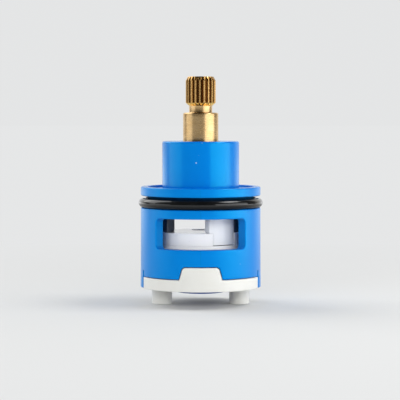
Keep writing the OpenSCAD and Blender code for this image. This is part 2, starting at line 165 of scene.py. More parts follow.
def field_inside(outline, step, margin):
    """Points of an even field that lie inside a closed outline, at least a margin from its points.
    A point is inside where a line from it to the right crosses the outline an odd number of
    times."""
    low, high = outline.min(0), outline.max(0)
    x = np.arange(low[0] + step / 2, high[0], step)
    y = np.arange(low[1] + step / 2, high[1], step)
    points = np.stack(np.meshgrid(x, y), -1).reshape(-1, 2)
    start, end = outline, np.roll(outline, -1, 0)
    above = points[:, None, 1] < start[None, :, 1]
    passes = above != (points[:, None, 1] < end[None, :, 1])
    rise = np.where(end[:, 1] == start[:, 1], 1, end[:, 1] - start[:, 1])
    part = (points[:, None, 1] - start[None, :, 1]) / rise
    cross_x = start[:, 0] + part * (end[:, 0] - start[:, 0])
    inside = (passes & (points[:, None, 0] < cross_x)).sum(1) % 2 == 1
    away = np.linalg.norm(points[:, None] - outline[None], axis=-1).min(1) > margin
    return points[inside & away]


def curved_skin(outline, radius_at, unroll_r, step=0.8):
    """Skin of a round wall inside a closed outline of (angle, z), flattened at unroll_r to be joined
    into triangles, and wrapped back so that each point lies at radius_at(angle, z)."""
    flat = outline * [unroll_r, 1]
    points, faces = fill(flat, field_inside(flat, step, step / 3))
    angle = points[:, 0] / unroll_r
    return np.stack([angle, radius_at(angle, points[:, 1]), points[:, 1]], 1), faces


def cut_edge(outer, inner, out_at, in_at, round_out, round_in, closed=False, steps=4):
    """Edge of a round wall, from its outer to its inner skin. outer and inner are that edge as
    (angle, z) on the skins, with the wall to its left. With n the direction into the wall, a row at
    turn t lies at n * round * (1 - sin t) beside the edge and round * (1 - cos t) below the skin.
    Gives the strip, and the rows where it meets the outer and the inner skin."""
    turn = np.linspace(0, np.pi / 2, steps + 1)[:, None]
    rows = []
    for path, radius_at, edge_round, side in (
        (outer, out_at, round_out, -1), (inner, in_at, round_in, 1),
    ):
        middle_r = radius_at(path[:, 0], path[:, 1])
        into = beside(path * np.stack([middle_r, np.ones(len(path))], 1), closed)
        offset = edge_round * (1 - np.sin(turn))
        angle = path[:, 0] + into[:, 0] * offset / middle_r
        z = path[:, 1] + into[:, 1] * offset
        radius = radius_at(angle, z) + side * edge_round * (1 - np.cos(turn))
        rows.append(np.stack([angle, radius, z], -1))
    strip = np.concatenate([rows[0], rows[1][::-1]])
    faces = grid_faces(len(strip), strip.shape[1], False, closed)
    return (strip.reshape(-1, 3), faces), rows[0][0][:, [0, 2]], rows[1][0][:, [0, 2]]


def wrapped(surface):
    """A surface given as (angle, radius, z), put round the axis."""
    polar, faces = surface
    return around(polar[:, 0], polar[:, 1], polar[:, 2]), faces


def four_quarters(surfaces):
    """Surfaces of the quarter from the front to the right, and their three mirrored copies."""
    copies = []
    for polar, faces in surfaces:
        for start, sign in ((0, 1), (0, -1), (np.pi, 1), (np.pi, -1)):
            moved = np.stack([start + sign * polar[:, 0], polar[:, 1], polar[:, 2]], 1)
            copies.append(wrapped((moved, faces)))
    return copies


def closed_shell(surfaces):
    """Mesh in metres from surfaces in millimetres that meet at their edges: doubles are merged and
    the faces turned outwards."""
    weld_within = 0.000001
    points = np.concatenate([points for points, faces in surfaces]) * 0.001
    starts = np.cumsum([0] + [len(points) for points, faces in surfaces])
    faces = sum([(faces + start).tolist() for (_, faces), start in zip(surfaces, starts)], [])
    mesh = bpy.data.meshes.new("shell")
    mesh.from_pydata(points, [], faces)
    work = bmesh.new()
    work.from_mesh(mesh)
    bmesh.ops.remove_doubles(work, verts=work.verts, dist=weld_within)
    bmesh.ops.recalc_face_normals(work, faces=work.faces)
    work.to_mesh(mesh)
    work.free()
    return mesh


def make_piece(name, shells, finish, body, nodes, sharp=32):
    """One mesh object of closed shells, each a list of surfaces. Edges sharper than the given
    degrees stay sharp. It rides on the body and stands for the nodes."""
    whole = bmesh.new()
    for surfaces in shells:
        shell = closed_shell(surfaces)
        whole.from_mesh(shell)
        bpy.data.meshes.remove(shell)
    mesh = bpy.data.meshes.new(name)
    whole.to_mesh(mesh)
    whole.free()
    mesh.shade_smooth()
    mesh.set_sharp_from_angle(angle=np.radians(sharp))
    mesh.materials.append(finish)
    piece = bpy.data.objects.new(name, mesh)
    bpy.context.scene.collection.objects.link(piece)
    normals = piece.modifiers.new("even_normals", "WEIGHTED_NORMAL")
    normals.keep_sharp = True
    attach(piece, body)
    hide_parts(*nodes)


def node(tree, kind, inputs, **settings):
    """New shader node with its settings. inputs maps a socket to its value or to a linked output."""
    made = tree.nodes.new("ShaderNode" + kind)
    for name, value in settings.items():
        setattr(made, name, value)
    for socket, value in inputs.items():
        if isinstance(value, bpy.types.NodeSocket):
            tree.links.new(value, made.inputs[socket])
        else:
            made.inputs[socket].default_value = value
    return made


def parts_of(finish):
    """The node tree of a material, its Principled shader and its object coordinates."""
    tree = finish.node_tree
    return tree, tree.nodes["Principled BSDF"], node(tree, "TexCoord", {}).outputs["Object"]


def new_finish(name, **values):
    """Material with one Principled shader, whose sockets hold the constant values."""
    finish = bpy.data.materials.new(name)
    finish.use_nodes = True
    tree, shader, place = parts_of(finish)
    for socket, value in values.items():
        shader.inputs[socket.replace("_", " ")].default_value = value
    return finish, tree, shader, place


def product(tree, first, second):
    """One value times another."""
    return node(tree, "Math", {0: first, 1: second}, operation="MULTIPLY").outputs[0]


def total(tree, first, second):
    """One value plus another."""
    return node(tree, "Math", {0: first, 1: second}, operation="ADD").outputs[0]


def without_sign(tree, value):
    """How far a value is from nought."""
    return node(tree, "Math", {0: value}, operation="ABSOLUTE").outputs[0]


def graded(tree, value, low, high, low_result, high_result):
    """A value mapped from one range to another, and held at its ends."""
    ends = {"From Min": low, "From Max": high, "To Min": low_result, "To Max": high_result}
    return node(tree, "MapRange", {"Value": value, **ends}).outputs[0]


def mixed(tree, part, first, second):
    """Value between two values. part 0 gives the first and 1 the second."""
    return node(tree, "Mix", {0: part, 2: first, 3: second}, data_type="FLOAT").outputs[0]


def blended(tree, part, first, second):
    """Colour between two colours. part 0 gives the first and 1 the second."""
    return node(tree, "Mix", {0: part, 6: first, 7: second}, data_type="RGBA").outputs[2]


def speckle(tree, place, scale, detail, roughness=0.5):
    """Cloudy pattern from 0 to 1 whose spots are about 1 / scale metres across."""
    pattern = {"Scale": scale, "Detail": detail, "Roughness": roughness}
    return node(tree, "TexNoise", {"Vector": place, **pattern}).outputs[0]


def stretched(tree, place, scale):
    """Coordinates for a pattern that is drawn out along the axes with the lower scales."""
    return node(tree, "Mapping", {"Vector": place, "Scale": scale}).outputs[0]


def measures(tree, place):
    """The x, the height and the distance from the axis of each point, in metres."""
    parts = node(tree, "SeparateXYZ", {"Vector": place}).outputs
    level = node(tree, "CombineXYZ", {"X": parts["X"], "Y": parts["Y"]}).outputs[0]
    from_axis = node(tree, "VectorMath", {0: level}, operation="LENGTH").outputs["Value"]
    return parts["X"], parts["Z"], from_axis


def add_relief(tree, shader, height, strength, depth):
    """Fine unevenness of a surface, of the given depth in metres at strength 1."""
    bump = node(tree, "Bump", {"Height": height, "Strength": strength, "Distance": depth})
    tree.links.new(bump.outputs[0], shader.inputs["Normal"])


def moulded_finish(name, colour, shade, roughness, grain, specks, stretch=(1, 1, 1), **values):
    """Moulded plastic: a colour that drifts slightly to its shade, a fine grain from the mould, soft
    waviness, a few tiny specks, and gloss that varies with the grain. A low stretch along an axis
    draws the pattern out into streaks."""
    finish, tree, shader, place = new_finish(name, **values)
    place = stretched(tree, place, stretch)
    drift = speckle(tree, place, 160, 3)
    fine = speckle(tree, place, 5200, 3, 0.6)
    wave = speckle(tree, place, 420, 2)
    spots = node(tree, "TexVoronoi", {"Vector": place, "Scale": 900}).outputs["Distance"]
    chance = graded(tree, speckle(tree, place, 330, 1), 0.66, 0.7, 0, 1)
    speck = product(tree, graded(tree, spots, 0.05, 0.1, specks, 0), chance)
    speck_colour = (0.75, 0.78, 0.82, 1)
    base = blended(tree, graded(tree, drift, 0.3, 0.7, 0, 1), colour, shade)
    tree.links.new(blended(tree, speck, base, speck_colour), shader.inputs["Base Color"])
    rough = graded(tree, fine, 0.25, 0.75, roughness - 0.05, roughness + 0.06)
    tree.links.new(rough, shader.inputs["Roughness"])
    add_relief(tree, shader, total(tree, fine, wave), grain, 0.00001)
    return finish


def plain_r(radius):
    """Radius that is the same all over a wall."""
    return lambda angle, z: np.full(np.broadcast(angle, z).shape, radius)


def tab_out_at(angle, z):
    """Outside radius of the wall: the snap tabs stand out a little below the edge of the body."""
    proud = tab_proud * np.clip((edge_z + 0.3 - z) / 0.3, 0, 1)
    return body_r + proud * (np.abs(np.abs(angle) - np.pi / 2) < tab_half_angle)


def tab_in_at(angle, z):
    """Inside radius of the wall: below the edge only the thinner tabs are left."""
    return np.where(z + 0 * angle < edge_z - 0.01, tab_in_r, bore_r)


# The lower edge, from the middle of the front notch to the middle of the right tab. The notch is
# drawn in x and the slit in the distance from the middle of the tab, both across parallel walls.
notch = refined(rounded(
    [(0, 11.15), (4.899, 11.15), (5.783, edge_z), (7.5, edge_z)], [1.2, 0.3], 8), path_step)
slit = refined(rounded(
    [(7.5, edge_z), (5.45, edge_z), (5.45, 9.45), (4.65, 9.45), (4.65, tab_foot), (0, tab_foot)],
    [0.3, 0.38, 0.38, 0.3]), path_step)


def lower_edge(radius_at):
    """The lower edge as (angle, z) on the skin that lies at radius_at."""
    notch_r = radius_at(np.zeros(len(notch)), notch[:, 1])
    slit_r = radius_at(np.full(len(slit), np.pi / 2 - 0.3), slit[:, 1])
    first = np.arcsin(notch[:, 0] / notch_r)
    last = np.pi / 2 - np.arcsin(slit[:, 0] / slit_r)
    between = np.linspace(first[-1], last[0], 24)[1:-1]
    angle = np.concatenate([first, between, last])
    z = np.concatenate([notch[:, 1], np.full(len(between), edge_z), slit[:, 1]])
    return np.stack([angle, z], 1)


window_side = np.radians(47.1) * body_r
window_low, window_high = 15.5, 23.5
window = refined(rounded(
    [(0, window_high), (window_side, window_high), (window_side, window_low), (0, window_low)],
    1.25, 10), path_step)
window = window / [body_r, 1]


def wall_outline(lower, upper, top):
    """Closed outline of a quarter of the wall between its lower edge, the window and the top."""
    angle = np.arange(turns // 4, -1, -1) * 2 * np.pi / turns
    return np.concatenate([lower, np.stack([angle, np.full(len(angle), top)], 1), upper])


lower_strip, lower_out, lower_in = cut_edge(
    lower_edge(tab_out_at), lower_edge(tab_in_at), tab_out_at, tab_in_at, 0.12, 0.08)
window_strip, window_out, window_in = cut_edge(
    window, window, plain_r(body_r), plain_r(bore_r), 0.28, 0.15, steps=6)
wall = four_quarters([
    lower_strip, window_strip,
    curved_skin(wall_outline(lower_out, window_out, wall_top), tab_out_at, body_r),
    curved_skin(wall_outline(lower_in, window_in, shoulder_z), tab_in_at, bore_r),
])
shell_profile = rounded([
    (body_r, wall_top), (body_r, groove_low), (groove_r, groove_low), (groove_r, groove_high),
    (body_r, groove_high), (body_r, flange_top), (dish_r, flange_top), (dish_r, dish_z),
    (tower_r, dish_z), (tower_r, tower_top), (5.25, tower_top), (collar_bore_r, 43.3),
    (collar_bore_r, collar_z), (guide_bore_r, collar_z), (guide_bore_r, pocket_roof),
    (pocket_r, pocket_roof), (pocket_r, shoulder_z), (bore_r, shoulder_z),
], [0.30, 0.12, 0.12, 0.3, 0.4, 0.16, 0.12, 0.2, 0.5, 0.12, 0.1, 0.1, 0.1, 0.15, 0.2, 0.15])


def wrapped_block(corners, radii, r_out, r_in, edge, step=0.8, inner_angle=None):
    """Closed block on a round wall: its outline is drawn on the outer skin as (length round it, z)
    anticlockwise. Its side walls run in along the radius, or to inner_angle(angle, z)."""
    inner_edge = 0.05
    path = refined(rounded(corners, radii, 6, closed=True), step / 2, closed=True) / [r_out, 1]
    inside = path.copy()
    if inner_angle:
        inside[:, 0] = inner_angle(path[:, 0], path[:, 1])
    strip, outer, inner = cut_edge(
        path, inside, plain_r(r_out), plain_r(r_in), edge, inner_edge, closed=True)
    return [
        wrapped(strip),
        wrapped(curved_skin(outer, plain_r(r_out), r_out, step)),
        wrapped(curved_skin(inner, plain_r(r_in), r_in, step)),
    ]


hooks = []
for side in (-1, 1):
    middle = side * np.pi / 2 * hook_r
    hooks.append(wrapped_block(
        rectangle(middle - 3.9, middle + 3.9, 4.72, 5.9), 0.25, hook_r, 13.9, 0.12))


def housing_finish():
    """Blue plastic. The tower is polished in the mould, the rest is matt from sparking, and the
    faces inside the wall below the groove, the sides of the windows among them, are duller, where
    sliders made them, and painted a darker blue as shade. The seal groove is painted near black as
    shade and made fully rough, a hairline is left where the halves of the mould met, and a pale nick
    shows on the tower."""
    finish = moulded_finish(
        "housing_blue", (0.0, 0.181, 0.685, 1), (0.0, 0.169, 0.655, 1), 0.31, 0.35, 0.6,
        IOR=1.56, Specular_IOR_Level=0.9, Specular_Tint=(0.04, 1.0, 1.0, 1))
    tree, shader, place = parts_of(finish)
    x, height, from_axis = measures(tree, place)
    polished = graded(tree, height, 0.0312, 0.0317, 0, 1)
    # Painted shade: a darker blue on the faces inside the wall below the groove.
    inside = product(
        tree, graded(tree, from_axis, 0.0157, 0.0159, 1, 0),
        graded(tree, height, 0.0254, 0.0256, 1, 0))
    # Painted shade: a near-black blue, with full roughness, in the seal groove up to the flange.
    painted_groove_shade = product(
        tree, graded(tree, height, 0.0259, 0.0262, 0, 0.9),
        graded(tree, height, 0.02905, 0.0293, 1, 0))
    hairline = graded(tree, total(tree, without_sign(tree, x), polished), 0.00003, 0.00009, 0.35, 0)
    nick_at = (-0.00118, -0.01023, 0.03804)
    to_nick = node(tree, "VectorMath", {0: place, 1: nick_at}, operation="DISTANCE").outputs["Value"]
    nick = graded(tree, to_nick, 0.00012, 0.00020, 0.7, 0)
    rough = shader.inputs["Roughness"].links[0].from_socket
    rough = mixed(tree, polished, rough, product(tree, rough, 0.7))
    rough = mixed(tree, inside, rough, 0.55)
    tree.links.new(mixed(tree, painted_groove_shade, rough, 1.0), shader.inputs["Roughness"])
    base = shader.inputs["Base Color"].links[0].from_socket
    # Painted shade inside the wall.
    base = blended(tree, inside, base, (0.0, 0.150, 0.580, 1))
    base = blended(tree, hairline, base, (0.0, 0.10, 0.34, 1))
    base = blended(tree, nick, base, (0.80, 0.86, 0.92, 1))
    # Painted shade in the seal groove.
    base = blended(tree, painted_groove_shade, base, (0.0, 0.002, 0.05, 1))
    tree.links.new(base, shader.inputs["Base Color"])
    return finish


housing_blue = housing_finish()
make_piece(
    "housing_shell", [wall + [turned(shell_profile)]] + hooks, housing_blue,
    "cartridge", ["housing"])


# Seal around the body
# A black rubber ring that is stretched into the groove under the flange, which leaves its section
# a little taller than wide. It is moulded in two halves, so a fine flash line runs round it, and it
# is wiped with grease before it goes in.
seal_r = 15.395
seal_z = 27.25
taller = 1.07
seal_turn = np.linspace(0, 2 * np.pi, 49)[:-1]
flash = 0.018 * np.exp(-(np.sin(seal_turn) / 0.09) ** 2) * (np.cos(seal_turn) > 0)
cord_r = 1.212 + flash
seal_profile = np.stack(
    [seal_r + cord_r * np.cos(seal_turn), seal_z + taller * cord_r * np.sin(seal_turn)], 1)


def rubber_finish(name, colour, roughness, **values):
    """Smooth rubber: nearly black or coloured, dulled in clouds where dust clings."""
    finish, tree, shader, place = new_finish(name, IOR=1.5, **values)
    clouds = speckle(tree, place, 260, 4, 0.6)
    fine = speckle(tree, place, 3800, 3, 0.6)
    dusty = tuple(0.95 * part + 0.003 for part in colour[:3]) + (1,)
    base = blended(tree, graded(tree, clouds, 0.4, 0.75, 0, 1), colour, dusty)
    tree.links.new(base, shader.inputs["Base Color"])
    rough = graded(tree, clouds, 0.3, 0.7, roughness - 0.04, roughness + 0.08)
    tree.links.new(rough, shader.inputs["Roughness"])
    add_relief(tree, shader, fine, 0.25, 0.00001)
    return finish


def greased_rubber():
    """Black rubber under a film of grease, which is wiped off the underside of the body seal."""
    finish = rubber_finish(
        "black_rubber", (0.0026, 0.003, 0.0038, 1), 0.30,
        Coat_Roughness=0.06, Specular_IOR_Level=0.1)
    tree, shader, place = parts_of(finish)
    _, height, _ = measures(tree, place)
    film = graded(tree, height, 0.0266, 0.0272, 0.2, 1)
    tree.links.new(film, shader.inputs["Coat Weight"])
    return finish


black_rubber = greased_rubber()
make_piece(
    "body_seal_ring", [[turned(seal_profile, 288, closed=True)]], black_rubber,
    "cartridge", ["body_o_ring"], sharp=60)


# Stem
# Turned brass bar: a tapped hole in its end, a spline of twenty teeth for the handle, a neck where
# the cutter runs out, a plain shank, and the guide with two seal grooves inside the tower. Its
# lower end has two flats. The spline is cut, so its grooves are darker than its turned faces.
teeth = 20
crest_r = 4.0
root_depth = 0.55
crest_part, flank_part = 0.13, 0.31
first_tooth = np.radians(-3.6)
stem_top = 60.8
spline_low = 53.85
neck_r = 3.1
neck_low, neck_top = 51.2, 53.0
shank_r = 4.725
guide_r = 6.0
guide_top = 41.38
stem_groove_r = 4.48
stem_foot = 26.98
hole_r = 1.9
thread_r = 1.66
thread_depth = 0.26
thread_pitch = 0.7
thread_top, thread_low = 60.55, 51.4
tooth_parts = np.array(
    [-0.5, -0.44, -0.36, -0.28, -0.20, -0.13, -0.06, 0.0, 0.06, 0.13, 0.20, 0.28, 0.36, 0.44])
stem_angle = ((np.arange(teeth)[:, None] + tooth_parts) * 2 * np.pi / teeth + first_tooth).ravel()
stem_steps = len(stem_angle)


def spline_r(angle):
    """Radius of the spline at an angle: the crest out to 13 hundredths of a pitch from its middle,
    then a flank that falls straight to the root at 44 hundredths, with its corners eased."""
    part = np.abs(((angle - first_tooth) * teeth / (2 * np.pi) + 0.5) % 1 - 0.5)
    fall = np.clip((part - crest_part) / flank_part, 0, 1)
    return crest_r - root_depth * (fall - 0.03 * np.sin(2 * np.pi * fall))


def soft_least(a, b, ease):
    """The lesser of two values, with the corner between them rounded over the given ease."""
    return (a + b - np.sqrt((a - b) ** 2 + ease ** 2)) / 2


blank = rounded([
    (hole_r, stem_top), (3.42, stem_top), (crest_r, 59.7), (crest_r, spline_low), (neck_r, neck_top),
    (neck_r, neck_low), (4.45, neck_low), (shank_r, 50.9), (shank_r, tower_top), (4.925, 43.55),
    (4.925, guide_top), (guide_r, guide_top),
], [0.1, 0.15, 0.12, 0.15, 0.2, 0.12, 0.15, 0.02, 0.02, 0.1], 4)
blank = refined(blank, 0.9)
on_teeth = (blank[:, 1:] > neck_top) & (blank[:, :1] > neck_r)
toothed = soft_least(blank[:, :1], spline_r(stem_angle)[None, :], 0.02)
outer_r = np.where(on_teeth, toothed, blank[:, :1])
upper_stem = around(stem_angle[None, :], outer_r, blank[:, 1:]).reshape(-1, 3)
upper_faces = grid_faces(len(blank), stem_steps, False, True)

thread_z = np.linspace(thread_top, thread_low, 106)[:, None]
thread_turn = (thread_z / thread_pitch - stem_angle[None, :] / (2 * np.pi)) % 1
fade = np.clip((thread_top - thread_z) / 0.5, 0, 1) * np.clip((thread_z - thread_low) / 0.5, 0, 1)
thread_at = thread_r + thread_depth * fade * (np.abs(thread_turn - 0.5) * 2)
thread = around(stem_angle[None, :], thread_at, thread_z)
mouth = around(stem_angle[None, :], hole_r, np.array([[stem_top]]))
point = around(stem_angle[None, :], np.array([[1.6], [0.0]]), np.array([[51.0], [50.4]]))
bore = np.concatenate([mouth, thread, point]).reshape(-1, 3)
bore_faces = grid_faces(len(bore) // stem_steps, stem_steps, False, True)

guide = rounded([
    (guide_r, guide_top), (guide_r, 37.53), (stem_groove_r, 37.53), (stem_groove_r, 35.43),
    (guide_r, 35.43), (guide_r, 32.03), (stem_groove_r, 32.03), (stem_groove_r, 29.93),
    (guide_r, 29.93), (guide_r, stem_foot), (0.0, stem_foot),
], [0.12, 0.1, 0.1, 0.12, 0.12, 0.1, 0.1, 0.12, 0.15], 3)
lower_stem = around(stem_angle[None, :], guide[:, :1], guide[:, 1:]).reshape(-1, 3)
lower_faces = grid_faces(len(guide), stem_steps, False, True)
tang_r = 5.0
tang_turn = np.arcsin(3.2 / tang_r)
arc = np.linspace(-tang_turn, tang_turn, 13)
right_arc = np.stack([tang_r * np.cos(arc), tang_r * np.sin(arc)], 1)
tang_outline = np.concatenate([right_arc, -right_arc])


def block(outline, z_low, z_high, cut_low, cut_high, holes=()):
    """Upright block with rounded edges. Its outline, drawn anticlockwise, and its holes, drawn
    clockwise, move in by round * (1 - sin t) while the wall turns up or down by
    round * (1 - cos t)."""
    surfaces = []
    rims = {z_low: [], z_high: []}
    turn = np.linspace(0, np.pi / 2, 5)
    for loop in [outline, *holes]:
        into = beside(loop, closed=True)
        inset = np.concatenate([cut_low * (1 - np.sin(turn)), cut_high * (1 - np.sin(turn[::-1]))])
        height = np.concatenate([
            z_low + cut_low * (1 - np.cos(turn)), z_high - cut_high * (1 - np.cos(turn[::-1]))])
        plan = loop[None] + into[None] * inset[:, None, None]
        tall = np.broadcast_to(height[:, None, None], plan.shape[:2] + (1,))
        points = np.concatenate([plan, tall], -1)
        surfaces.append((points.reshape(-1, 3), grid_faces(len(points), len(loop), False, True)))
        rims[z_low].append(plan[0])
        rims[z_high].append(plan[-1])
    for z, loops in rims.items():
        points, faces = fill(loops[0], holes=loops[1:])
        surfaces.append((np.column_stack([points, np.full(len(points), z)]), faces))
    return surfaces


def stem_finish():
    """Machined brass: fine rings and short marks left by the turning tool, clouds of handling,
    brown tarnish that fills the grooves of the spline up to its crests, and a cone where the spline
    runs out, kept clear of the tarnish and painted brighter and yellower than the rest as a
    highlight.
    level is the distance from the axis with what the tip and the cone taper off added to it, so that
    the crests lie at one level from end to end."""
    finish, tree, shader, place = new_finish("stem_brass", Metallic=1.0)
    _, height, from_axis = measures(tree, place)
    rings_at = node(tree, "CombineXYZ", {"X": from_axis, "Z": height}).outputs[0]
    rings = speckle(tree, rings_at, 9000, 3, 0.6)
    marks = speckle(tree, stretched(tree, place, (500, 500, 9000)), 1, 3, 0.6)
    handled = graded(tree, speckle(tree, place, 420, 3), 0.35, 0.7, 0, 1)
    tip = graded(tree, height, 0.0597, 0.0608, 0, 0.00058)
    cone = graded(tree, height, 0.0530, 0.05385, 0.0009, 0)
    drop = total(tree, tip, cone)
    level = total(tree, from_axis, drop)
    above = graded(tree, height, 0.0530, 0.0532, 0, 1)
    below = graded(tree, height, 0.06070, 0.06078, 1, 0)
    on_spline = product(tree, above, below)
    grooved = product(tree, graded(tree, level, 0.00384, 0.00397, 1, 0), on_spline)
    straight = product(tree, graded(tree, drop, 0.00002, 0.0001, 1, 0), on_spline)
    crest = product(tree, graded(tree, level, 0.00394, 0.00398, 0, 0.8), straight)
    clean_cone_and_highlight = product(tree, graded(tree, height, 0.0535, 0.0539, 1, 0), above)
    base = blended(tree, handled, (0.80, 0.56, 0.285, 1), (0.71, 0.465, 0.21, 1))
    base = blended(tree, graded(tree, marks, 0.35, 0.75, 0, 0.55), base, (0.52, 0.35, 0.16, 1))
    base = blended(tree, product(tree, on_spline, 0.8), base, (0.66, 0.375, 0.105, 1))
    base = blended(tree, grooved, base, (0.20, 0.085, 0.018, 1))
    base = blended(tree, crest, base, (0.72, 0.465, 0.18, 1))
    # Painted highlight: the run-out cone gets a brighter, yellower brass than the rest of the stem.
    base = blended(tree, clean_cone_and_highlight, base, (0.95, 0.64, 0.19, 1))
    tree.links.new(base, shader.inputs["Base Color"])
    rough = graded(tree, marks, 0.3, 0.7, 0.20, 0.34)
    worn = total(tree, rough, graded(tree, crest, 0, 0.8, 0, 0.30))
    tree.links.new(worn, shader.inputs["Roughness"])
    add_relief(tree, shader, total(tree, rings, marks), 0.12, 0.000008)
    return finish


stem_brass = stem_finish()
make_piece(
    "spline_stem", [
        [(upper_stem, upper_faces), (bore, bore_faces), (lower_stem, lower_faces)],
        block(tang_outline, 24.58, 27.2, 0.2, 0.05),
    ],
    stem_brass, "selector", ["stem"], sharp=38)


# Stem seals
# Two small black rubber rings in the grooves of the stem. They ride with the stem and rub on the
# bore of the tower.
stem_seal_r = 5.24
stem_cord_r = 0.745
for place_word, centre_z in (("upper", 36.48), ("lower", 30.98)):
    section = np.stack([
        stem_seal_r + stem_cord_r * np.cos(seal_turn),
        centre_z + stem_cord_r * np.sin(seal_turn)], 1)
    make_piece(
        "stem_seal_" + place_word, [[turned(section, 144, closed=True)]], black_rubber,
        "selector", ["stem_o_ring_" + place_word], sharp=60)


# Slip washers
# Two thin punched washers of white low-friction plastic: one between the shoulder of the stem and
# the collar of the tower, one between the driver and the roof of its pocket.
plate_r = 8.1
slip_white = moulded_finish(
    "slip_white", (0.80, 0.80, 0.77, 1), (0.76, 0.76, 0.72, 1), 0.42, 0.3, 0.0, IOR=1.4)
for name, cad_name, r_in, r_out, z_low, z_high in (
    ("collar_washer", "thrust_washer", collar_bore_r, guide_r, 41.4, collar_z),
    ("roof_washer", "driver_washer", 6.15, plate_r, 27.0, pocket_roof),
):
    section = rounded(rectangle(r_in, r_out, z_low, z_high), 0.08, 3, closed=True)
    make_piece(
        name, [[turned(section, 160, closed=True)]], slip_white,
        "cartridge", [cad_name])


# Driver
# Off-white acetal moulding on the flats of the stem. One lug hangs from its plate past the edge of
# the stop ring and stands in the notch of the rotating disc, where its free side is set in.
lug_r = 10.4
arm_r = 8.9
lug_foot, lug_step_z, lug_top = 16.36, 19.47, 24.9
plate_low, plate_high = 23.98, 26.98
lug_low, lug_high = np.radians([12.4, 57.6]) * lug_r
lug_step = np.radians(18.3) * lug_r
lug_outline = [
    (lug_step, lug_foot), (lug_high, lug_foot), (lug_high, lug_top), (lug_low, lug_top),
    (lug_low, lug_step_z), (lug_step, lug_step_z)]
plate_profile = rounded(rectangle(0.0, plate_r, plate_low, plate_high), 0.3)
arm_low, arm_high = np.radians([13.0, 57.0]) * arm_r


def lug_inner_angle(angle, z):
    """Above the disc, the free side of the lug runs in parallel to its middle, not to the axis."""
    side = np.clip((np.radians(24.0) - angle) / np.radians(11.6), 0, 1)
    return angle - np.radians(4.8) * side * np.clip((z - 19.2) / 0.3, 0, 1)


driver_white = moulded_finish(
    "driver_white", (0.93, 0.935, 0.945, 1), (0.91, 0.915, 0.925, 1), 0.34, 0.3, 0.1, IOR=1.48,
    Subsurface_Weight=0.6, Subsurface_Radius=(1.0, 1.0, 1.0), Subsurface_Scale=0.0015)
make_piece(
    "driver_moulding", [
        [turned(plate_profile)],
        wrapped_block(
            lug_outline, [0.2, 0.2, 0.35, 0.35, 0.35, 0.3], lug_r, 8.7, 0.12, 0.5, lug_inner_angle),
        wrapped_block(rectangle(arm_low, arm_high, plate_low, lug_top), 0.2, arm_r, 7.0, 0.1),
    ],
    driver_white, "selector", ["driver"])


# Stop ring
# Charcoal moulding, stiffened with glass, that is keyed into the pocket of the housing. Its two
# legs come down beside the windows, and the lug of the driver stops against them.
stop_charcoal = moulded_finish(
    "stop_charcoal", (0.095, 0.112, 0.150, 1), (0.050, 0.060, 0.083, 1), 0.30, 0.8, 0.25,
    (3, 3, 0.25), IOR=1.5)
stop_in_r = 8.3
leg_r = 10.5
key_r = 12.0
ring_section = rounded(rectangle(stop_in_r, 11.15, 25.0, 27.55), 0.2, 4, closed=True)


def leg_inner_angle(angle, z):
    """The faces that the lug stops against are parallel to the lug, so a leg is narrower inside."""
    middle = np.sign(angle) * np.pi / 2
    return middle + (angle - middle) * 0.706


legs = []
for side in (1, -1):
    middle = side * np.pi / 2 * leg_r
    half = np.radians(32.0) * leg_r
    for z_low, z_high, in_r in ((19.55, 23.88, 7.6), (23.2, 25.4, stop_in_r)):
        legs.append(wrapped_block(
            rectangle(middle - half, middle + half, z_low, z_high),
            0.45, leg_r, in_r, 0.3, 0.6, leg_inner_angle))
keys = []
for side in (0, np.pi):
    middle = side * key_r
    keys.append(wrapped_block(
        rectangle(middle - 1.45, middle + 1.45, 25.02, 27.53), 0.25, key_r, 10.8, 0.15))
make_piece(
    "stop_moulding", [[turned(ring_section, closed=True)]] + legs + keys, stop_charcoal,
    "cartridge", ["stop_ring"])


# Ceramic discs
# Two discs of pressed and fired alumina, ground and then lapped flat on the faces that meet. The
# lower one is keyed in the base. The upper one turns with the driver, whose lug fills its notch.
def ring_points(radius, steps=64, centre=(0, 0), clockwise=True):
    """Points round a circle, clockwise for a hole."""
    turn = np.arange(steps) * 2 * np.pi / steps * (-1 if clockwise else 1)
    return np.stack([centre[0] + radius * np.cos(turn), centre[1] + radius * np.sin(turn)], 1)


disc_r = 10.5
disc_hole_r = 2.4
disc_hole_out = 5.6


def notched_disc(spans, floor_r):
    """Closed outline of a disc with a notch over each span of angles, in x and y, anticlockwise
    from above. It is drawn as (length round the rim, distance from the axis)."""
    pieces = []
    for (start, end), (next_start, _) in zip(spans, spans[1:] + [(spans[0][0] + 2 * np.pi, 0)]):
        left, right = start * disc_r, end * disc_r
        corners = [
            (left - 0.4, disc_r), (left, disc_r), (left, floor_r), (right, floor_r),
            (right, disc_r), (right + 0.4, disc_r)]
        pieces.append(refined(rounded(corners, [0.14, 0.3, 0.3, 0.14], 5), 0.3))
        rim = np.arange(right + 0.7, next_start * disc_r - 0.6, 0.3)
        pieces.append(np.stack([rim, np.full(len(rim), disc_r)], 1))
    path = np.concatenate(pieces)
    return around(path[:, 0] / disc_r, path[:, 1], 0.0)[:, :2]


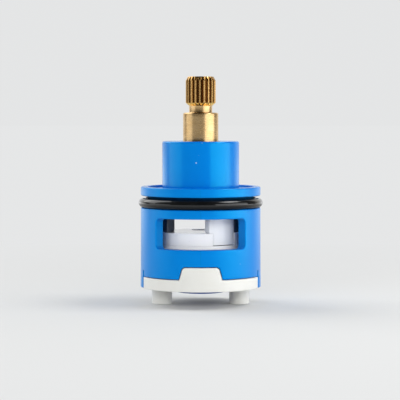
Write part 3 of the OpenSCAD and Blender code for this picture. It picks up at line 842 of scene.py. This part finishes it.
def ceramic_finish():
    """Alumina: white with a breath of blue, very fine grain, scattered pale grey specks, dull on the
    ground rim and glossy where it is lapped."""
    finish, tree, shader, place = new_finish(
        "disc_ceramic", IOR=1.4,
        Subsurface_Weight=0.3, Subsurface_Radius=(1.0, 1.0, 1.0), Subsurface_Scale=0.001)
    grain = speckle(tree, place, 6500, 3, 0.6)
    clouds = graded(tree, speckle(tree, place, 230, 2), 0.3, 0.7, 0, 1)
    spots = node(tree, "TexVoronoi", {"Vector": place, "Scale": 700}).outputs["Distance"]
    base = blended(tree, clouds, (0.97, 0.965, 0.965, 1), (0.98, 0.975, 0.975, 1))
    base = blended(tree, graded(tree, spots, 0.04, 0.08, 0.25, 0), base, (0.45, 0.46, 0.50, 1))
    tree.links.new(base, shader.inputs["Base Color"])
    normal = node(tree, "NewGeometry", {}).outputs["Normal"]
    upwards = node(tree, "SeparateXYZ", {"Vector": normal}).outputs["Z"]
    lapped = graded(tree, without_sign(tree, upwards), 0.9, 0.99, 0, 1)
    tree.links.new(graded(tree, lapped, 0, 1, 0.42, 0.12), shader.inputs["Roughness"])
    add_relief(tree, shader, grain, 0.2, 0.000006)
    return finish


disc_ceramic = ceramic_finish()
key_turn = np.arcsin(1.65 / 10.0)
key_spans = [(middle - key_turn, middle + key_turn) for middle in (np.pi / 2, 3 * np.pi / 2)]
fixed_outline = notched_disc(key_spans, 9.5)
fixed_holes = [ring_points(disc_hole_r, centre=(0, side * disc_hole_out)) for side in (-1, 1)]
make_piece(
    "lower_disc", [block(fixed_outline, 12.8, 16.18, 0.12, 0.04, fixed_holes)], disc_ceramic,
    "cartridge", ["fixed_disc"])
turning_outline = notched_disc([tuple(np.radians([18.05, 57.85]))], 8.6)
full_turn = np.radians(70.0)
turning_holes = [
    ring_points(disc_hole_r, centre=centre) for centre in (
        (0, disc_hole_out), (disc_hole_out * np.sin(full_turn), -disc_hole_out * np.cos(full_turn)))]
make_piece(
    "upper_disc", [block(turning_outline, 16.20, 19.45, 0.04, 0.12, turning_holes)], disc_ceramic,
    "selector", ["rotating_disc"])


# Base
# Off-white moulding that snaps between the two tabs: a ring with two tongues that show in the
# notches of the housing, a boss with the cup of the lower disc, two ports and two locating pins.
base_white = moulded_finish(
    "base_white", (0.80, 0.80, 0.765, 1), (0.77, 0.765, 0.725, 1), 0.40, 0.35, 0.1, IOR=1.48,
    Subsurface_Weight=0.2, Subsurface_Radius=(1.0, 1.0, 1.0), Subsurface_Scale=0.0006)
ring_r = 15.95
ring_in_r = 14.65
tongue_in_r = 13.3
boss_r = 13.35
foot_z = 4.6
ring_top = 7.65
web_z = 6.3
port_r = 3.0
port_out = 6.2
pin_r = 2.7
pin_out = 10.35
tongue = refined(rounded(
    [(0, 10.95), (4.746, 10.95), (5.63, ring_top), (7.5, ring_top)], [1.0, 0.25], 8), path_step)
tongue = tongue[::-1]
recess = refined(rounded(
    [(7.5, foot_z), (4.85, foot_z), (4.85, ring_top), (7.5, ring_top)], [0.3, 0.25]), path_step)


def base_in_at(angle, z):
    """Inside radius of the ring: the tongues are as deep as the boss."""
    return np.where(z + 0 * angle > 7.5, tongue_in_r, ring_in_r)


def base_edge(radius_at):
    """The foot of the ring, the side of the recess for the snap tab, the top of the ring and the
    edge of the tongue, as (angle, z) on the skin that lies at radius_at."""
    side = np.pi / 2 - np.arcsin(recess[:, 0] / radius_at(np.full(len(recess), 1.2), recess[:, 1]))
    front = np.arcsin(tongue[:, 0] / radius_at(np.zeros(len(tongue)), tongue[:, 1]))
    foot = np.linspace(0, side[0], 45)[:-1]
    between = np.linspace(side[-1], front[0], 24)[1:-1]
    angle = np.concatenate([foot, side, between, front])
    z = np.concatenate([
        np.full(len(foot), foot_z), recess[:, 1], np.full(len(between), ring_top), tongue[:, 1]])
    return np.stack([angle, z], 1)


ring_strip, ring_out, ring_in = cut_edge(
    base_edge(plain_r(ring_r)), base_edge(base_in_at), plain_r(ring_r), base_in_at, 0.16, 0.03)
base_ring = four_quarters([
    ring_strip, curved_skin(ring_out, plain_r(ring_r), ring_r),
    curved_skin(ring_in, base_in_at, ring_in_r)])


def ports_outline(radius):
    """Outline round both ports: at each direction the further edge of the two circles, which is
    offset * |sin| + root(radius squared - offset squared * cos squared), eased where they meet."""
    steps = 160
    turn = np.arange(steps) * 2 * np.pi / steps
    sine = np.sqrt(np.sin(turn) ** 2 + 0.004)
    away = port_out * sine + np.sqrt(radius ** 2 - (port_out * np.cos(turn)) ** 2)
    return np.stack([away * np.cos(turn), away * np.sin(turn)], 1)


def plate_outline(radius, pocket_r, half_width):
    """Round plate with a square pocket on each side for the hook of a snap tab."""
    side = np.arcsin(half_width / radius)
    half = np.linspace(-np.pi / 2, np.pi / 2, 121)
    front = np.concatenate([half[np.abs(half) > side + 0.01], [-side, side]])
    front.sort()
    low, high = front[front < 0], front[front > 0]
    pocket = np.array([(pocket_r, -half_width), (pocket_r, half_width)])
    right = np.concatenate([
        radius * np.stack([np.cos(low), np.sin(low)], 1), pocket,
        radius * np.stack([np.cos(high), np.sin(high)], 1)])
    return np.concatenate([right[:-1], -right[:-1]])


def round_plate(radius, z_low, z_high, cut_high, hole_r, centres):
    """Round plate of the base with a hole at each of the centres."""
    holes = [ring_points(hole_r, 96, centre) for centre in centres]
    return block(ring_points(radius, turns, clockwise=False), z_low, z_high, 0.02, cut_high, holes)


ports = ((0, -port_out), (0, port_out))
gasket_groove = ports_outline(6.75)[::-1]
base_shells = [
    base_ring,
    block(plate_outline(ring_in_r, 13.75, 3.8), foot_z, web_z, 0.02, 0.02, [gasket_groove]),
    round_plate(ring_in_r, web_z, 7.55, 0.1, port_r, ports),
    round_plate(boss_r, 7.5, 11.0, 0.02, port_r, ports),
    round_plate(boss_r, 11.0, 12.6, 0.02, 5.35, ports),
    round_plate(boss_r, 12.6, 15.38, 0.3, 10.65, [(0, 0)]),
]
for centre in ports:
    base_shells.append(block(
        ring_points(4.6, 96, centre, clockwise=False), foot_z, web_z, 0.15, 0.02,
        [ring_points(port_r, 64, centre)]))
for side in (-1, 1):
    pin = ring_points(pin_r, 96, (side * pin_out, 0), clockwise=False)
    base_shells.append(block(pin, 0.0, 5.2, 0.35, 0.05))
    key = np.array(rectangle(9.65, 10.9, -1.5, 1.5)) * [side, 1]
    base_shells.append(block(key[::side], 12.4, 15.3, 0.05, 0.15))
make_piece("base_moulding", base_shells, base_white, "cartridge", ["base"])


# Gasket under the base
# Blue rubber moulding in a groove round both ports. Its lip stands out below the base and is
# pressed flat when the cartridge is clamped down.
seal_blue = rubber_finish(
    "seal_blue", (0.012, 0.075, 0.36, 1), 0.42, Coat_Weight=0.15, Coat_Roughness=0.10)
gasket_holes = [ring_points(4.65, 96, centre) for centre in ports]
make_piece(
    "port_gasket_ring", [block(ports_outline(6.7), 3.9, 6.28, 0.5, 0.05, gasket_holes)], seal_blue,
    "cartridge", ["port_gasket"])


# Disc seals and their sleeves
# A blue rubber ring round each port, squeezed between the base and the lower disc, and inside it a
# thin steel sleeve, cut from tube, that keeps the rubber out of the port.
def sleeve_finish():
    """Drawn steel tube with fine marks along it."""
    finish, tree, shader, place = new_finish("sleeve_steel", Metallic=1.0)
    marks = speckle(tree, stretched(tree, place, (9000, 9000, 500)), 1, 2)
    marks = graded(tree, marks, 0.3, 0.7, 0, 1)
    base = blended(tree, marks, (0.58, 0.59, 0.60, 1), (0.48, 0.49, 0.51, 1))
    tree.links.new(base, shader.inputs["Base Color"])
    tree.links.new(graded(tree, marks, 0, 1, 0.22, 0.38), shader.inputs["Roughness"])
    return finish


sleeve_steel = sleeve_finish()
rubber = rounded(rectangle(3.6, 4.8, 11.0, 12.8), 0.25, 4, closed=True)
steel = rounded(rectangle(3.05, 3.55, 11.0, 12.6), 0.06, 3, closed=True)
for end, centre in zip(("front", "back"), ports):
    make_piece(
        "disc_seal_ring_" + end, [[turned(rubber, 96, True, centre)]], seal_blue,
        "cartridge", ["disc_seal_" + end])
    make_piece(
        "sleeve_tube_" + end, [[turned(steel, 96, True, centre)]], sleeve_steel,
        "cartridge", ["seal_sleeve_" + end])


# Camera and light
# The photograph looks down on the cartridge by three degrees, from 0.46 m, through a long lens.
# Soft boxes stand on both sides and in front, and narrow low cards lift the edges of the piece. The
# world and the far floor glow white, and the floor near the piece takes its shadow.
camera_data = bpy.data.cameras.new("camera")
camera_data.lens = 154.1
camera = bpy.data.objects.new("camera", camera_data)
camera.location = (-0.00018, -0.458, 0.05135)
camera.rotation_euler = (np.radians(87.06), 0, 0)
bpy.context.scene.collection.objects.link(camera)
bpy.context.scene.camera = camera


def soft_lamp(name, place, aim_z, width, height, power):
    """Rectangular lamp that faces the axis of the piece at the height aim_z."""
    data = bpy.data.lights.new(name, "AREA")
    data.shape = "RECTANGLE"
    data.size = width
    data.size_y = height
    data.energy = power
    lamp = bpy.data.objects.new(name, data)
    lamp.location = place
    away = np.subtract(place, (0, 0, aim_z))
    tilt = np.arctan2(np.hypot(away[0], away[1]), away[2])
    lamp.rotation_euler = (tilt, 0, np.arctan2(away[0], -away[1]))
    bpy.context.scene.collection.objects.link(lamp)
    return lamp


soft_lamp("right_softbox", (0.267, -0.142, 0.078), 0.03, 0.41, 0.18, 0.40)
soft_lamp("right_window", (0.51, -0.05, 0.76), 0.03, 0.48, 0.32, 2.6)
soft_lamp("left_softbox", (-0.627, 0.333, 0.58), 0.03, 0.7, 0.75, 3.3)
soft_lamp("left_card", (-0.297, -0.042, 0.045), 0.03, 0.27, 0.12, 0.08)
soft_lamp("low_card", (0.196, -0.042, 0.0105), 0.0105, 0.24, 0.021, 0.034)
soft_lamp("left_rim_card", (-0.167, 0.186, 0.016), 0.016, 0.17, 0.032, 0.014)
soft_lamp("right_rim_card", (0.167, 0.186, 0.016), 0.016, 0.17, 0.032, 0.011)
front_panel = soft_lamp("front_panel", (-0.08, -0.82, 0.32), 0.03, 1.2, 0.3, 3.9)
front_panel.visible_glossy = False

pale = (0.985, 0.995, 1.0, 1)
warm = (1.0, 0.93, 0.82, 1)
seen_strength = 0.79
world = bpy.data.worlds.new("studio")
world.use_nodes = True
bpy.context.scene.world = world
tree = world.node_tree
background = tree.nodes["Background"]
rays = node(tree, "LightPath", {}).outputs
seen = node(
    tree, "Math", {0: rays["Is Camera Ray"], 1: rays["Is Transmission Ray"]},
    operation="MAXIMUM").outputs[0]
ray = node(tree, "TexCoord", {}).outputs["Generated"]
backwards = node(tree, "SeparateXYZ", {"Vector": ray}).outputs["Y"]
mirrored = graded(tree, backwards, 0.50, 0.76, 0.05, 1.0)
lit = graded(tree, backwards, -0.30, 0.50, 0.20, 0.80)
strength = mixed(tree, rays["Is Glossy Ray"], mixed(tree, seen, lit, seen_strength), mirrored)
tint = blended(tree, graded(tree, backwards, 0.55, 0.85, 0, 1), warm, pale)
tree.links.new(blended(tree, rays["Is Glossy Ray"], pale, tint), background.inputs["Color"])
tree.links.new(strength, background.inputs["Strength"])

floor_mesh = bpy.data.meshes.new("floor")
floor_mesh.from_pydata([(-4, -3, 0), (4, -3, 0), (4, 6, 0), (-4, 6, 0)], [], [(0, 1, 2, 3)])
floor = bpy.data.objects.new("floor", floor_mesh)
bpy.context.scene.collection.objects.link(floor)
floor_finish, tree, shader, place = new_finish(
    "floor_paper", Base_Color=(0.715, 0.72, 0.715, 1), Roughness=0.9, Specular_IOR_Level=0.1)
distance = node(tree, "VectorMath", {0: place}, operation="LENGTH").outputs["Value"]
far = graded(tree, distance, 0.045, 0.22, 0, 1)
glow = node(tree, "Emission", {"Color": pale, "Strength": 0.80}).outputs[0]
surface = node(tree, "MixShader", {0: far, 1: shader.outputs[0], 2: glow}).outputs[0]
tree.links.new(surface, tree.nodes["Material Output"].inputs["Surface"])
floor_mesh.materials.append(floor_finish)

bpy.context.scene.view_settings.view_transform = "Standard"
